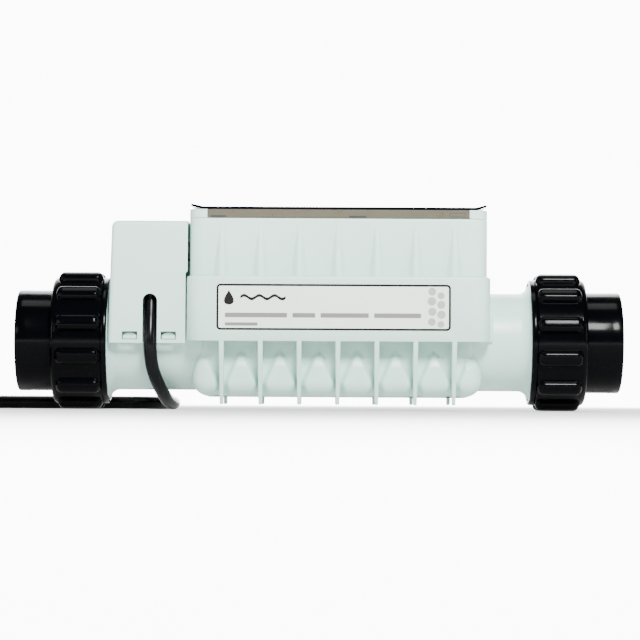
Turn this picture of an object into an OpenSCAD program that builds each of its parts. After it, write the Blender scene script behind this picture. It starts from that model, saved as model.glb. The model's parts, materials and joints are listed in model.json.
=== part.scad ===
// Salt chlorine generator for a pool or spa return line.
// +X runs with the water flow, -Y is the labelled front, +Z is up.
// The origin is on the surface that the union nuts stand on, under the middle of the part.

/* [Pipe and unions] */
// Overall length over both tailpieces
overall_len = 460; // [450:1:480]
// Outside radius of the cell's end tubes
tube_r = 37.4; // [36.5:0.1:37.6]
// Inside radius of the flow passage
flow_r = 28; // [27:0.5:28.5]
// Outside radius of a tailpiece
tail_r = 38.5; // [37:0.1:38.6]
// Radius of the slip socket that takes 2 inch pipe
socket_r = 30.3; // [30.2:0.05:30.6]
// Depth of the slip socket
socket_depth = 38; // [32:1:40]
// Radius over the tips of a union nut's lobes
lobe_tip_r = 53.5; // [53:0.1:55]
// Width of one lobe
lobe_w = 12.4; // [10:0.2:14]
// Rounding of a lobe's long edges
lobe_edge_r = 3.5; // [2:0.1:5]

/* [Body] */
// Length of the label band
band_len = 227.9; // [227:0.1:229]
// Depth of the label band, front to back
band_depth = 116; // [115:0.5:120]
// Offset of the body's centre from the middle of the part
body_x = 14.45; // [14:0.05:15]
// Number of stiffening ribs on each side
rib_count = 7; // [5:1:7]
// Distance from rib to rib
rib_pitch = 29.05; // [28:0.05:29.1]
// Thickness of a rib
rib_t = 3.4; // [2.5:0.1:4]

/* [Cell stack] */
// Number of electrode plates
plate_count = 9; // [5:2:9]
// Distance from plate to plate
plate_pitch = 6; // [5:0.5:6.5]

/* [Top panel] */
// Distance between neighbouring buttons
button_pitch = 22; // [18:1:26]

/* [Power cord] */
// Radius of the power cord
cord_r = 5; // [4.5:0.1:5]

/* [Which piece to show] */
// Name of one piece, or all

/* [Hidden] */
$fn = 96;

// Heights
axis_z = (lobe_tip_r - lobe_edge_r) * cos(15) + (lobe_w / 2 - lobe_edge_r) * sin(15) + lobe_edge_r;
chamber_z0 = 9.8;
band_z0 = 51.6;
tray_z = 90;
band_z1 = 101;
housing_z0 = 91.5;
housing_z1 = 144;
lens_z1 = 150.4;
overlay_z1 = 152.4;

// Distances along the flow, measured from the middle of the part
tail_end = overall_len / 2;
tube_end = 186;
nut_in = 160;
nut_out = 202.5;
flange_x = 161;
band_x0 = body_x - band_len / 2;
band_x1 = body_x + band_len / 2;
housing_x0 = band_x0 + 1.9;
housing_x1 = band_x1 - 2.4;
chamber_x0 = -95.4;
chamber_x1 = 122.6;
sensor_x = -127;

// Arch in the cover's end wall, clear of the end tube's fillet
cover_arch_r = tube_r + 4.8;

// Half depths
band_y = band_depth / 2;
housing_y = band_y - 5;
chamber_y = 44;
cavity_y = 38;

// Corner radius seen from above
corner_r = 12;
rib_x = [for (i = [0 : rib_count - 1]) body_x - 0.35 + (i - (rib_count - 1) / 2) * rib_pitch];
plate_y = [for (i = [0 : plate_count - 1]) (i - (plate_count - 1) / 2) * plate_pitch];
terminal_x = [0, 28];
screw_xy = [for (x = [housing_x0 + 4.8, housing_x1 - 4.8], y = [-46, 46]) [x, y]];
sensor_screw_xy = [for (x = [-17, 17], y = [-16, 16]) [sensor_x + x, y]];
button_x = [for (i = [-1 : 1]) body_x + i * button_pitch];

// Route of the power cord's centre, from the strain relief to the coil
cord_route = [
  [-127, -37, 90], [-127, -37, 84], [-127, -39.5, 75], [-127, -43.6, 64], [-127, -46.4, 53],
  [-126.5, -46, 42], [-125, -42.5, 31], [-121.8, -36, 21], [-118, -26, 12.5], [-115, -13, 7],
  [-112.5, 0, 5], [-112, 13, 5], [-115, 27.5, 5], [-123.5, 40, 5], [-136.5, 49, 5], [-152, 52, 5],
  [-178, 52, 5], [-204, 52, 5], [-230, 52, 5], [-256, 52, 5], [-282, 52, 5], [-308, 52, 5.2],
  [-330, 52, 5.5], [-352, 52, 5.8]];
coil_x = -352;
coil_y = -33;
coil_z0 = 0.8;
coil_r0 = 30;
coil_r1 = 90;
coil_h = 20;
connector_z = coil_z0 + coil_h + 12.6;

white = [0.85, 0.89, 0.88];
black = [0.06, 0.06, 0.07];
steel = [0.72, 0.73, 0.75];

// ---------- shapes that repeat ----------

module rounded_rect(x0, x1, y0, y1, r) {
  translate([x0 + r, y0]) square([x1 - x0 - 2 * r, y1 - y0]);
  translate([x0, y0 + r]) square([x1 - x0, y1 - y0 - 2 * r]);
  for (x = [x0 + r, x1 - r], y = [y0 + r, y1 - r]) translate([x, y]) circle(r);
}

// The same rectangle with only its lower corners round
module tub_rect(x0, x1, y0, y1, r) {
  rounded_rect(x0, x1, y0, y1, r);
  translate([x0, y0 + r]) square([x1 - x0, y1 - y0 - r]);
}

// Extrudes an outline drawn in Y and Z along X
module along_x(x0, x1) translate([x0, 0, 0]) rotate([90, 0, 90]) linear_extrude(x1 - x0) children();

// Extrudes an outline drawn in X and Z along Y
module along_y(y0, y1) translate([0, y1, 0]) rotate([90, 0, 0]) linear_extrude(y1 - y0) children();

module along_z(z0, z1) translate([0, 0, z0]) linear_extrude(z1 - z0) children();

module block(x0, x1, y0, y1, z0, z1) translate([x0, y0, z0]) cube([x1 - x0, y1 - y0, z1 - z0]);

module post(x, y, z0, z1, r) translate([x, y, z0]) cylinder(h = z1 - z0, r = r);

// Turns a profile of [radius, distance along the flow] about the pipe's axis
module turned(points) translate([0, 0, axis_z]) rotate([0, 90, 0]) rotate_extrude() polygon(points);

module pipe_hole(x0, x1, r) translate([x0, 0, axis_z]) rotate([0, 90, 0]) cylinder(h = x1 - x0, r = r);

module both_ends() {
  children();
  mirror([1, 0, 0]) children();
}

module front_and_back() {
  children();
  mirror([0, 1, 0]) children();
}

// ---------- cell ----------

// End tube with its collar and thread, for the outlet side
module end_tube() {
  thread_root = 41.8;
  thread_top = 43.3;
  fillet_r = 8;
  turned(concat(
    [[0, 100], [tube_r, 100]],
    [for (a = [0 : 16 : 80]) [tube_r + fillet_r * (1 - cos(a)), flange_x - 9 + fillet_r * sin(a)]],
    [[44.4, flange_x], [44.4, flange_x + 5], [thread_root, flange_x + 5.5]],
    [for (k = [0 : 3], p = [[0, 0], [0.6, 1], [1.8, 1], [2.4, 0]])
      [p[1] == 1 ? thread_top : thread_root, flange_x + 7 + 4 * k + p[0]]],
    [[thread_root, tube_end - 0.8], [thread_root - 0.8, tube_end], [0, tube_end]]));
}

module chamber_outer() intersection() {
  along_x(chamber_x0, chamber_x1) tub_rect(-chamber_y, chamber_y, chamber_z0, tray_z, 12);
  along_y(-chamber_y, chamber_y) tub_rect(chamber_x0, chamber_x1, chamber_z0, tray_z, 11);
}

// Skirt that carries the label, open underneath between itself and the chamber
module band() difference() {
  along_z(band_z0, band_z1) rounded_rect(band_x0, band_x1, -band_y, band_y, corner_r);
  front_and_back() block(band_x0 + 14, band_x1 - 14, chamber_y - 1, band_y - 3, 0, 84);
}

module lower_rib(x) along_x(x - rib_t / 2, x + rib_t / 2) polygon([
  [40, 84.5], [band_y - 2, 84.5], [band_y - 0.1, 60], [band_y - 0.1, band_z0],
  [44.5, 4.3], [42, 4.3], [39, 12]]);

module cell_body() color(white) difference() {
  union() {
    chamber_outer();
    band();
    both_ends() end_tube();
    pipe_hole(-101, chamber_x0 + 20, tube_r);
    front_and_back() for (x = rib_x) lower_rib(x);
    block(band_x1 - 6, 131, -40, 40, band_z0, 73);
    along_z(75, 92) rounded_rect(sensor_x - 21, sensor_x + 21, -20, 20, 4);
    front_and_back() for (x = [-147.5, -118.3]) block(x, x + 10.5, 30, 44.6, 53, 58);
  }
  along_x(chamber_x0 + 4.4, chamber_x1 - 4.6) rounded_rect(-cavity_y, cavity_y, 16, 84, 8);
  pipe_hole(-tube_end - 1, tube_end + 1, flow_r);
  both_ends() turned([[32.6, tube_end + 1], [36.4, tube_end + 1], [36.4, 183.2], [32.6, 183.2]]);
  along_z(tray_z, band_z1 + 1) rounded_rect(housing_x0 - 0.15, housing_x1 + 0.15,
    -housing_y - 0.15, housing_y + 0.15, corner_r - 1);
  along_y(-band_y - 1, -band_y + 0.8) rounded_rect(-76.8, 98.3, 59.7, 94.3, 3);
  post(sensor_x, 0, 60, 93, 16.2);
  for (p = sensor_screw_xy) post(p[0], p[1], 82, 93, 1.6);
  for (x = terminal_x) {
    post(x, 0, 80, 91, 3.05);
    post(x, 0, 87.5, 91, 6.05);
  }
}

module label_plate() color("ivory")
  along_y(-band_y, -band_y + 0.75) rounded_rect(-76.7, 98.2, 59.8, 94.2, 2.9);

module end_o_rings() color(black) both_ends()
  translate([184.7, 0, axis_z]) rotate([0, 90, 0]) rotate_extrude() translate([34.5, 0]) circle(1.45, $fn = 32);

// ---------- electrodes ----------

module plates(t, grow) for (y = plate_y)
  block(-60 - grow, 92 + grow, y - t / 2, y + t / 2, 18 - grow, 82 + grow);

module electrode_plates() color(steel) plates(1, 0);

module plate_combs() color("gainsboro") difference() {
  for (x = [-54, 78]) {
    block(x, x + 8, -30, 30, 16.1, 24);
    block(x, x + 8, -30, 30, 76, 83.9);
  }
  plates(1.2, 0.1);
}

module bus_bars() color(steel) for (x = terminal_x) block(x - 4, x + 4, -25, 25, 82, 83.8);

module terminal_rods() color(steel) for (x = terminal_x) post(x, 0, 83.8, 116, 3);

module terminal_seals() color(black) for (x = terminal_x) difference() {
  post(x, 0, 87.5, 90.4, 6);
  post(x, 0, 87, 91, 3.02);
}

module terminal_nuts() color("goldenrod") for (x = terminal_x) difference() {
  translate([x, 0, 109.7]) cylinder(h = 3.6, r = 6, $fn = 6);
  post(x, 0, 109, 114, 3.04);
}

// ---------- electronics ----------

module upper_rib(x) along_x(x - rib_t / 2, x + rib_t / 2) polygon([
  [housing_y - 0.5, band_z1 + 0.1], [band_y - 0.4, band_z1 + 0.1], [housing_y - 0.5, 139.5]]);

module electronics_housing() color(white) difference() {
  union() {
    difference() {
      along_z(housing_z0, housing_z1)
        rounded_rect(housing_x0, housing_x1, -housing_y, housing_y, corner_r - 1);
      along_z(housing_z0 + 3, housing_z1 + 1)
        rounded_rect(housing_x0 + 3, housing_x1 - 3, 3 - housing_y, housing_y - 3, corner_r - 4);
    }
    front_and_back() for (x = rib_x) upper_rib(x);
    for (p = screw_xy) post(p[0], p[1], housing_z0 + 1, housing_z1, 3.5);
  }
  for (p = screw_xy) post(p[0], p[1], 130, housing_z1 + 1, 1.55);
  for (x = terminal_x) post(x, 0, housing_z0 - 1, housing_z0 + 4, 6.2);
  translate([housing_x0 - 1, -33, 120]) rotate([0, 90, 0]) cylinder(h = 5, r = 6.1);
  translate([housing_x0 - 1, 12, 120]) rotate([0, 90, 0]) cylinder(h = 5, r = 5);
}

module housing_gasket() color(black) along_z(tray_z, housing_z0) difference() {
  rounded_rect(housing_x0 + 1, housing_x1 - 1, 1 - housing_y, housing_y - 1, corner_r - 2);
  rounded_rect(housing_x0 + 6, housing_x1 - 6, 6 - housing_y, housing_y - 6, corner_r - 6);
}

module potting_resin() color("dimgray") difference() {
  block(housing_x0 + 9, housing_x1 - 9, -49.5, 49.5, housing_z0 + 3.05, 107.9);
  for (x = terminal_x) post(x, 0, 90, 110, 3.05);
}

module circuit_board() color("darkgreen") difference() {
  block(-88, 112, -45, 45, 108, 109.6);
  for (x = terminal_x) post(x, 0, 107, 111, 3.1);
}

// Capacitors, transformer and heat sink on the main board
module power_components() color("slategray") {
  for (y = [-30, -8]) post(60, y, 109.7, 132, 8);
  block(-45, -17, -25, 5, 109.7, 130);
  difference() {
    block(80, 104, -20, 20, 109.7, 130);
    for (y = [-16 : 8 : 16]) block(79, 105, y - 2, y + 2, 114, 131);
  }
}

module sensor_header() color("white") block(-87.5, -78, 6, 18, 109.7, 124);

module board_standoffs() color("goldenrod") for (x = [-76, 104], y = [-38, 38]) post(x, y, 109.7, 139.9, 3);

module display_board() color("darkgreen") block(-82, 110, -42, 42, 140, 141.6);

// Indicator lights in one row, read through the lens
module status_leds() color("limegreen") for (i = [0 : 9])
  block(body_x - 68 + 14 * i, body_x - 64 + 14 * i, 20, 23, 141.7, 144);

module switch_domes() color(steel) for (x = button_x) post(x, -20, 141.7, 144.6, 4);

// ---------- top panel ----------

lens_x0 = housing_x0 + 13.4;
lens_x1 = housing_x1 - 13.6;

module top_bezel() color(white) difference() {
  along_z(housing_z1, lens_z1) rounded_rect(housing_x0, housing_x1, -housing_y, housing_y, corner_r - 1);
  block(-80, 108, -45.5, 45.5, housing_z1 - 1, lens_z1 + 1);
  front_and_back() block(lens_x0, lens_x1, 50.3, 60, housing_z1 - 1, lens_z1 + 1);
  block(lens_x0, lens_x1, -60, 60, 148.9, lens_z1 + 1);
  for (p = screw_xy) {
    post(p[0], p[1], housing_z1 - 1, lens_z1 + 1, 1.6);
    post(p[0], p[1], 147.4, lens_z1 + 1, 3.1);
  }
}

module bezel_screws() color(steel) for (p = screw_xy) {
  post(p[0], p[1], 132, 147.5, 1.5);
  post(p[0], p[1], 147.5, 150.2, 3);
}

module button_hole(z0, z1, grow) for (x = button_x)
  block(x - 7 - grow, x + 7 + grow, -24.5 - grow, -15.5 + grow, z0, z1);

module display_lens() color([0.59, 0.56, 0.48, 0.7]) difference() {
  union() {
    block(lens_x0 + 0.1, lens_x1 - 0.1, -housing_y, housing_y, 149, lens_z1);
    front_and_back() block(lens_x0 + 0.1, lens_x1 - 0.1, 50.4, housing_y, housing_z1 + 0.1, lens_z1);
  }
  button_hole(148, 152, 0.3);
}

// Dark panel sheet, with a raised lip at each end
module display_overlay() color(black) difference() {
  along_y(-housing_y + 0.5, housing_y - 0.5) polygon([
    [housing_x0 + 10.4, lens_z1 + 0.05], [housing_x1 - 8.6, lens_z1 + 0.05],
    [housing_x1 - 1, overlay_z1 + 0.4], [housing_x1 - 1, overlay_z1 + 2.1],
    [housing_x1 - 8.6, overlay_z1], [housing_x0 + 10.4, overlay_z1],
    [housing_x0 + 1.2, overlay_z1 + 2.1], [housing_x0 + 1.2, overlay_z1 + 0.4]]);
  button_hole(149, 160, 0.3);
}

// One push button: cap, retaining flange under the lens, and stem over its switch
module push_button(i) {
  block(button_x[i] - 7, button_x[i] + 7, -24.5, -15.5, 148, 152.9);
  block(button_x[i] - 8.5, button_x[i] + 8.5, -26, -14, 147.1, 148.9);
  block(button_x[i] - 3, button_x[i] + 3, -23, -17, 145.5, 148);
}

module more_button() color("gray") push_button(2);
module less_button() color("gray") push_button(0);
module info_button() color("gray") push_button(1);

// ---------- flow sensor ----------

module flow_sensor() color("dimgray") difference() {
  union() {
    along_z(92.1, 96) rounded_rect(sensor_x - 21, sensor_x + 21, -20, 20, 4);
    post(sensor_x, 0, 79, 92.5, 16);
    front_and_back() block(sensor_x - 4, sensor_x + 4, 8.6, 11.6, 70, 80);
  }
  post(sensor_x, 0, 82, 97, 12);
  translate([sensor_x, 0, 86]) difference() {
    cylinder(h = 2.4, r = 17, center = true);
    cylinder(h = 4, r = 14, center = true);
  }
  for (p = sensor_screw_xy) post(p[0], p[1], 92, 97, 1.7);
  translate([sensor_x, 20, 74]) rotate([90, 0, 0]) cylinder(h = 40, r = 1.5);
  post(sensor_x - 9, 0, 78, 83, 2.55);
}

module sensor_o_ring() color(black) translate([sensor_x, 0, 86])
  rotate_extrude() translate([15.1, 0]) circle(1, $fn = 32);

module sensor_cap() color(black) difference() {
  along_z(96.1, 104) rounded_rect(sensor_x - 13, sensor_x + 13.5, -18, 18, 3);
  post(sensor_x, 0, 95, 100, 12);
}

module sensor_screws() color(steel) for (p = sensor_screw_xy) {
  post(p[0], p[1], 84, 96.1, 1.5);
  post(p[0], p[1], 96.1, 98.2, 2.9);
}

module reed_switch() color("lightcyan") post(sensor_x + 5, 0, 82.1, 97, 1.5);

module temperature_probe() color(steel) {
  post(sensor_x - 9, 0, 62, 88, 2.5);
  translate([sensor_x - 9, 0, 62]) sphere(2.5);
}

module paddle_pin() color(steel) translate([sensor_x, 11.6, 74]) rotate([90, 0, 0]) cylinder(h = 23.2, r = 1.45);

module flow_paddle() color("gainsboro") difference() {
  union() {
    translate([sensor_x, 8.2, 74]) rotate([90, 0, 0]) cylinder(h = 16.4, r = 3.2);
    block(sensor_x - 1, sensor_x + 1, -8.2, 8.2, 38, 73);
  }
  translate([sensor_x, 10, 74]) rotate([90, 0, 0]) cylinder(h = 20, r = 1.5);
}

module paddle_magnet() color(steel) block(sensor_x + 1, sensor_x + 4, -4, 4, 60, 68);

module sensor_cable() color(black) {
  post(sensor_x + 10, 12, 104, 108, 2.5);
  translate([sensor_x + 22, 12, 108]) rotate([90, 0, 0]) rotate_extrude(angle = 90, start = 90)
    translate([12, 0]) circle(2.5, $fn = 32);
  translate([sensor_x + 22, 12, 120]) rotate([0, 90, 0]) cylinder(h = 17.5, r = 2.5);
}

module cable_grommet() color(black) translate([housing_x0, 12, 120]) rotate([0, 90, 0]) difference() {
  union() {
    cylinder(h = 3, r = 4.95);
    translate([0, 0, -1.6]) cylinder(h = 1.6, r = 6.5);
    translate([0, 0, 3]) cylinder(h = 1.6, r = 6.5);
  }
  translate([0, 0, -5]) cylinder(h = 12, r = 2.55);
}

// ---------- power cord ----------

module cord_gland() color(black) {
  along_z(112, 128) rounded_rect(sensor_x - 8, sensor_x + 8, -44, -26.5, 4);
  translate([sensor_x + 7.5, -33, 120]) rotate([0, 90, 0]) cylinder(h = 31, r = 6);
  translate([housing_x0 - 2, -33, 120]) rotate([0, 90, 0]) cylinder(h = 2, r = 7.5);
}

module gland_nut() color(black) translate([housing_x0 + 3, -33, 120]) rotate([0, 90, 0]) difference() {
  cylinder(h = 4.5, r = 8.4, $fn = 6);
  translate([0, 0, -1]) cylinder(h = 7, r = 6.04);
}

module strain_relief() color(black) translate([sensor_x, -37, 90]) cylinder(h = 22, r1 = 5.9, r2 = 6.9);

function unit(v) = v / norm(v);
function ahead(path, i) = unit(path[min(i + 1, len(path) - 1)] - path[max(i - 1, 0)]);
function side(d) = unit(cross(d, abs(d[0]) < 0.8 ? [1, 0, 0] : [0, 0, 1]));

// Round tube with its rings across a path of points
module swept_tube(path, r, sides) {
  rings = len(path);
  points = [for (i = [0 : rings - 1]) let (d = ahead(path, i), u = side(d), v = cross(d, u))
    for (k = [0 : sides - 1]) path[i] + r * (cos(360 * k / sides) * u + sin(360 * k / sides) * v)];
  walls = [for (i = [0 : rings - 2], k = [0 : sides - 1]) let (n = (k + 1) % sides)
    [i * sides + k, i * sides + n, (i + 1) * sides + n, (i + 1) * sides + k]];
  start_cap = [for (k = [sides - 1 : -1 : 0]) k];
  end_cap = [for (k = [0 : sides - 1]) (rings - 1) * sides + k];
  polyhedron(points, concat(walls, [start_cap, end_cap]), convexity = 6);
}

module power_cord() color(black) swept_tube(cord_route, cord_r, 10);

module cord_coil() color(black) translate([coil_x, coil_y, coil_z0]) rotate_extrude()
  translate([coil_r0, 0]) square([coil_r1 - coil_r0, coil_h]);

// Flat strap round the coil's turns
module cord_tie() color("dimgray") translate([coil_x, coil_y, 0]) difference() {
  block(coil_r0 - 1.8, coil_r1 + 1.4, -6, 6, 0, coil_z0 + coil_h + 0.8);
  block(coil_r0 - 0.6, coil_r1 + 0.1, -7, 7, coil_z0 - 0.05, coil_z0 + coil_h + 0.1);
}

// The plug lies on the coil's turns, with its mouth towards the cell
module along_plug(x) translate([coil_x + x, coil_y - 60, connector_z]) rotate([0, 90, 0]) children();

module connector_body() color(black) along_plug(-4) difference() {
  cylinder(h = 34, r = 12.4);
  translate([0, 0, 22]) cylinder(h = 13, r = 9.6);
}

module connector_pins() color("goldenrod") along_plug(18)
  for (a = [45 : 90 : 315]) rotate(a) translate([5, 0, 0]) cylinder(h = 9, r = 1.2);

module connector_boot() color(black) along_plug(-30) cylinder(h = 26, r1 = 6, r2 = 9);

// ---------- unions ----------

module tailpiece() color(black) turned([
  [socket_r, tail_end], [tail_r - 0.8, tail_end], [tail_r, tail_end - 0.8], [tail_r, 194.6],
  [43, 194.6], [43, tube_end + 0.2], [26.5, tube_end + 0.2], [26.5, tail_end - socket_depth],
  [socket_r, tail_end - socket_depth]]);

module lobe_outline() {
  translate([46, -lobe_w / 2]) square([lobe_tip_r - lobe_edge_r - 46, lobe_w]);
  translate([46, lobe_edge_r - lobe_w / 2]) square([lobe_tip_r - 46, lobe_w - 2 * lobe_edge_r]);
  for (y = [lobe_edge_r - lobe_w / 2, lobe_w / 2 - lobe_edge_r])
    translate([lobe_tip_r - lobe_edge_r, y]) circle(lobe_edge_r);
}

module union_nut() color(black) {
  turned([
    [45, nut_in], [47.4, nut_in], [48.2, nut_in + 0.8], [48.4, nut_in + 5], [48.4, nut_out - 4],
    [46.5, nut_out], [tail_r + 0.4, nut_out], [tail_r + 0.4, 195], [43.8, 195],
    [43.8, 167.2], [45, 166.6]]);
  intersection() {
    along_x(nut_in + 4.5, nut_out - 3.7) translate([0, axis_z])
      for (k = [0 : 11]) rotate(15 + 30 * k) lobe_outline();
    turned([
      [45, nut_in + 4.5], [49.2, nut_in + 4.5], [lobe_tip_r + 1, nut_in + 10.2],
      [lobe_tip_r + 1, nut_out - 9.4], [49.2, nut_out - 3.7], [45, nut_out - 3.7]]);
  }
}

module inlet_tailpiece() mirror([1, 0, 0]) tailpiece();
module inlet_union_nut() mirror([1, 0, 0]) union_nut();
module outlet_tailpiece() tailpiece();
module outlet_union_nut() union_nut();

// ---------- sensor cover ----------

module sensor_cover() color([0.82, 0.86, 0.85]) difference() {
  intersection() {
    along_y(-48, 48) polygon(concat(
      [[-158.8, 50], [-100.5, 50], [-100.5, 102.6], [-99, 104.1], [-99, 142]],
      [for (a = [90 : 18 : 180]) [-151.2 + 5 * cos(a), 137 + 5 * sin(a)]]));
    along_z(49, 143) {
      rounded_rect(-159, -110, -48, 48, 5);
      translate([-140, -48]) square([42, 96]);
    }
  }
  intersection() {
    along_y(-45.2, 45.2) polygon([[-156, 49], [-98, 49], [-98, 139.4], [-152.6, 139.4], [-153.6, 138]]);
    along_z(48, 143) translate([-156.2, -45.2]) square([60, 90.4]);
  }
  along_x(-160, -150) {
    translate([0, axis_z]) circle(cover_arch_r);
    translate([-cover_arch_r, 40]) square([2 * cover_arch_r, axis_z - 40]);
  }
  along_y(-49, -44) {
    translate([-127.1, 81.6]) circle(5.45);
    translate([-132.55, 49]) square([10.9, 32.6]);
  }
  front_and_back() for (x = [-148, -118.9]) block(x, x + 11.6, 44, 49, 52.5, 58.6);
}

// ---------- assembly ----------

cell_body();
electronics_housing();
housing_gasket();
top_bezel();
bezel_screws();
display_lens();
display_overlay();
label_plate();
potting_resin();
circuit_board();
power_components();
board_standoffs();
display_board();
status_leds();
switch_domes();
sensor_header();
electrode_plates();
plate_combs();
bus_bars();
terminal_rods();
terminal_seals();
terminal_nuts();
end_o_rings();
flow_sensor();
sensor_o_ring();
sensor_cap();
sensor_screws();
reed_switch();
temperature_probe();
paddle_pin();
flow_paddle();
paddle_magnet();
sensor_cable();
cable_grommet();
cord_gland();
gland_nut();
strain_relief();
power_cord();
cord_coil();
cord_tie();
connector_body();
connector_pins();
connector_boot();
inlet_tailpiece();
inlet_union_nut();
outlet_tailpiece();
outlet_union_nut();
sensor_cover();
more_button();
less_button();
info_button();
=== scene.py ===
import json
import math

import bmesh
import bpy
from mathutils import Matrix, Vector


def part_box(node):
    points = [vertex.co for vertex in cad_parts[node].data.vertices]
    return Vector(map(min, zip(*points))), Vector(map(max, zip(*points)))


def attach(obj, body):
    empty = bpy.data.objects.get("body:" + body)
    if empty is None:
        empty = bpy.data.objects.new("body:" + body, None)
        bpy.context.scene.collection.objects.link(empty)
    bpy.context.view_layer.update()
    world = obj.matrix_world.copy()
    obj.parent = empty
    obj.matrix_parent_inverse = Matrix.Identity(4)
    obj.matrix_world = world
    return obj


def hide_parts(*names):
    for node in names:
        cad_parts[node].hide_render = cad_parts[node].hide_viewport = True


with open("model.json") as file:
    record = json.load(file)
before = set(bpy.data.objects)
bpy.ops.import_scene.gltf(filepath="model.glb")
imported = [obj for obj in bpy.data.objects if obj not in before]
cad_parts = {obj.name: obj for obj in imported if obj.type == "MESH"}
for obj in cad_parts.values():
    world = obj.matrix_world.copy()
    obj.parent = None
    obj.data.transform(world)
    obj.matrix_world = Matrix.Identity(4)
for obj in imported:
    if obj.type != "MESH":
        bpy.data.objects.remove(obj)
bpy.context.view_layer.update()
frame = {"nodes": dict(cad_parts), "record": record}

nodes = frame["nodes"]
MM = 0.001

# ---------------------------------------------------------------- places taken from the frame

AXIS_Z = frame["record"]["mounts"][0]["pos_m"][2] / MM
BODY_LOW, BODY_HIGH = [[v / MM for v in corner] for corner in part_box("cell_body")]
HOUSING_LOW, HOUSING_HIGH = [[v / MM for v in corner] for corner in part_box("electronics_housing")]
COIL_LOW, COIL_HIGH = [[v / MM for v in corner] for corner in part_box("cord_coil")]
BOOT_LOW, BOOT_HIGH = [[v / MM for v in corner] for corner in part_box("connector_boot")]
TAIL_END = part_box("outlet_tailpiece")[1][0] / MM
PIPE = (0.0, 0.0, AXIS_Z)

BODY_MIDDLE = 14.1
CHAMBER_X0, CHAMBER_X1 = -95.4, 122.6
BAND_X0, BAND_X1, BAND_Y = -99.5, 128.4, 58.0
HOUSING_Y = 53.0
TUBE_R = 37.4
FLOW_R = 28.0
SENSOR_X = -127.0
TERMINALS = (0.0, 28.0)
HOUSING_SCREWS = [(x, y) for x in (HOUSING_LOW[0] + 4.8, HOUSING_HIGH[0] - 4.8) for y in (-46, 46)]

# ---------------------------------------------------------------- camera

CAMERA_AT = Vector((0.0006, -2.0, 0.009))
CAMERA_AIM = Vector((0.0006, 0.0, 0.0692))
CAMERA_LENS = 146.5
CAMERA_ROLL = math.radians(0.3)


def add_camera():
    data = bpy.data.cameras.new("studio_camera")
    data.lens = CAMERA_LENS
    data.clip_start = 0.01
    data.clip_end = 20.0
    camera = bpy.data.objects.new("studio_camera", data)
    aim = (CAMERA_AIM - CAMERA_AT).to_track_quat("-Z", "Y").to_matrix().to_4x4()
    camera.matrix_world = Matrix.Translation(CAMERA_AT) @ aim @ Matrix.Rotation(CAMERA_ROLL, 4, "Z")
    bpy.context.scene.collection.objects.link(camera)
    bpy.context.scene.camera = camera


add_camera()

# ---------------------------------------------------------------- shader helpers


class Shader:
    """A principled material with a few shorthands for its node tree."""

    def __init__(self, name, color, roughness, **sockets):
        self.material = bpy.data.materials.new(name)
        self.material.use_nodes = True
        self.tree = self.material.node_tree
        self.principled = self.tree.nodes["Principled BSDF"]
        self.set("Base Color", (*color, 1.0))
        self.set("Roughness", roughness)
        for socket, value in sockets.items():
            self.set(socket.replace("_", " "), value)

    def set(self, socket, value):
        self.principled.inputs[socket].default_value = value

    def node(self, kind, **settings):
        made = self.tree.nodes.new(kind)
        for key, value in settings.items():
            if key in made.inputs:
                made.inputs[key].default_value = value
            else:
                setattr(made, key, value)
        return made

    def link(self, source, target):
        self.tree.links.new(source, target)

    def position(self):
        return self.node("ShaderNodeTexCoord").outputs["Object"]

    def noise(self, scale, detail=3.0, stretch=(1, 1, 1)):
        mapping = self.node("ShaderNodeMapping")
        mapping.inputs["Scale"].default_value = stretch
        self.link(self.position(), mapping.inputs["Vector"])
        made = self.node("ShaderNodeTexNoise", Scale=scale, Detail=detail)
        self.link(mapping.outputs["Vector"], made.inputs["Vector"])
        return made.outputs["Fac"]

    def ramp(self, source, stops):
        made = self.node("ShaderNodeValToRGB")
        elements = made.color_ramp.elements
        while len(elements) < len(stops):
            elements.new(0.5)
        for element, (place, color) in zip(elements, stops):
            element.position = place
            element.color = (*color, 1.0)
        self.link(source, made.inputs["Fac"])
        return made.outputs["Color"]

    def spread(self, source, low, high):
        made = self.node("ShaderNodeMapRange")
        made.inputs["From Min"].default_value = 0.3
        made.inputs["From Max"].default_value = 0.7
        made.inputs["To Min"].default_value = low
        made.inputs["To Max"].default_value = high
        self.link(source, made.inputs["Value"])
        return made.outputs["Result"]

    def mottle(self, scale, dark, light, stretch=(1, 1, 1)):
        """Colour that drifts between two tones."""
        color = self.ramp(self.noise(scale, stretch=stretch), [(0.35, dark), (0.65, light)])
        self.link(color, self.principled.inputs["Base Color"])

    def rough(self, scale, low, high, stretch=(1, 1, 1)):
        self.link(self.spread(self.noise(scale, stretch=stretch), low, high),
                  self.principled.inputs["Roughness"])

    def bump(self, scale, strength, distance=0.0002, detail=3.0, stretch=(1, 1, 1)):
        made = self.node("ShaderNodeBump", Strength=strength, Distance=distance)
        self.link(self.noise(scale, detail, stretch), made.inputs["Height"])
        if self.principled.inputs["Normal"].is_linked:
            self.link(self.principled.inputs["Normal"].links[0].from_socket, made.inputs["Normal"])
        self.link(made.outputs["Normal"], self.principled.inputs["Normal"])


def plastic(name, color, roughness, drift=0.03, grain=900, grain_strength=0.08, **sockets):
    """Moulded plastic: slow drift of tone, uneven gloss, a fine spark-eroded grain and slight sink."""
    made = Shader(name, color, roughness, **sockets)
    dark = [c * (1 - drift) for c in color]
    light = [min(1.0, c * (1 + drift)) for c in color]
    made.mottle(14, dark, light)
    made.rough(60, roughness * 0.85, roughness * 1.18)
    made.bump(28, 0.05, 0.0006, 2.0)
    made.bump(grain, grain_strength, 0.00006)
    return made.material


# ---------------------------------------------------------------- materials

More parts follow.
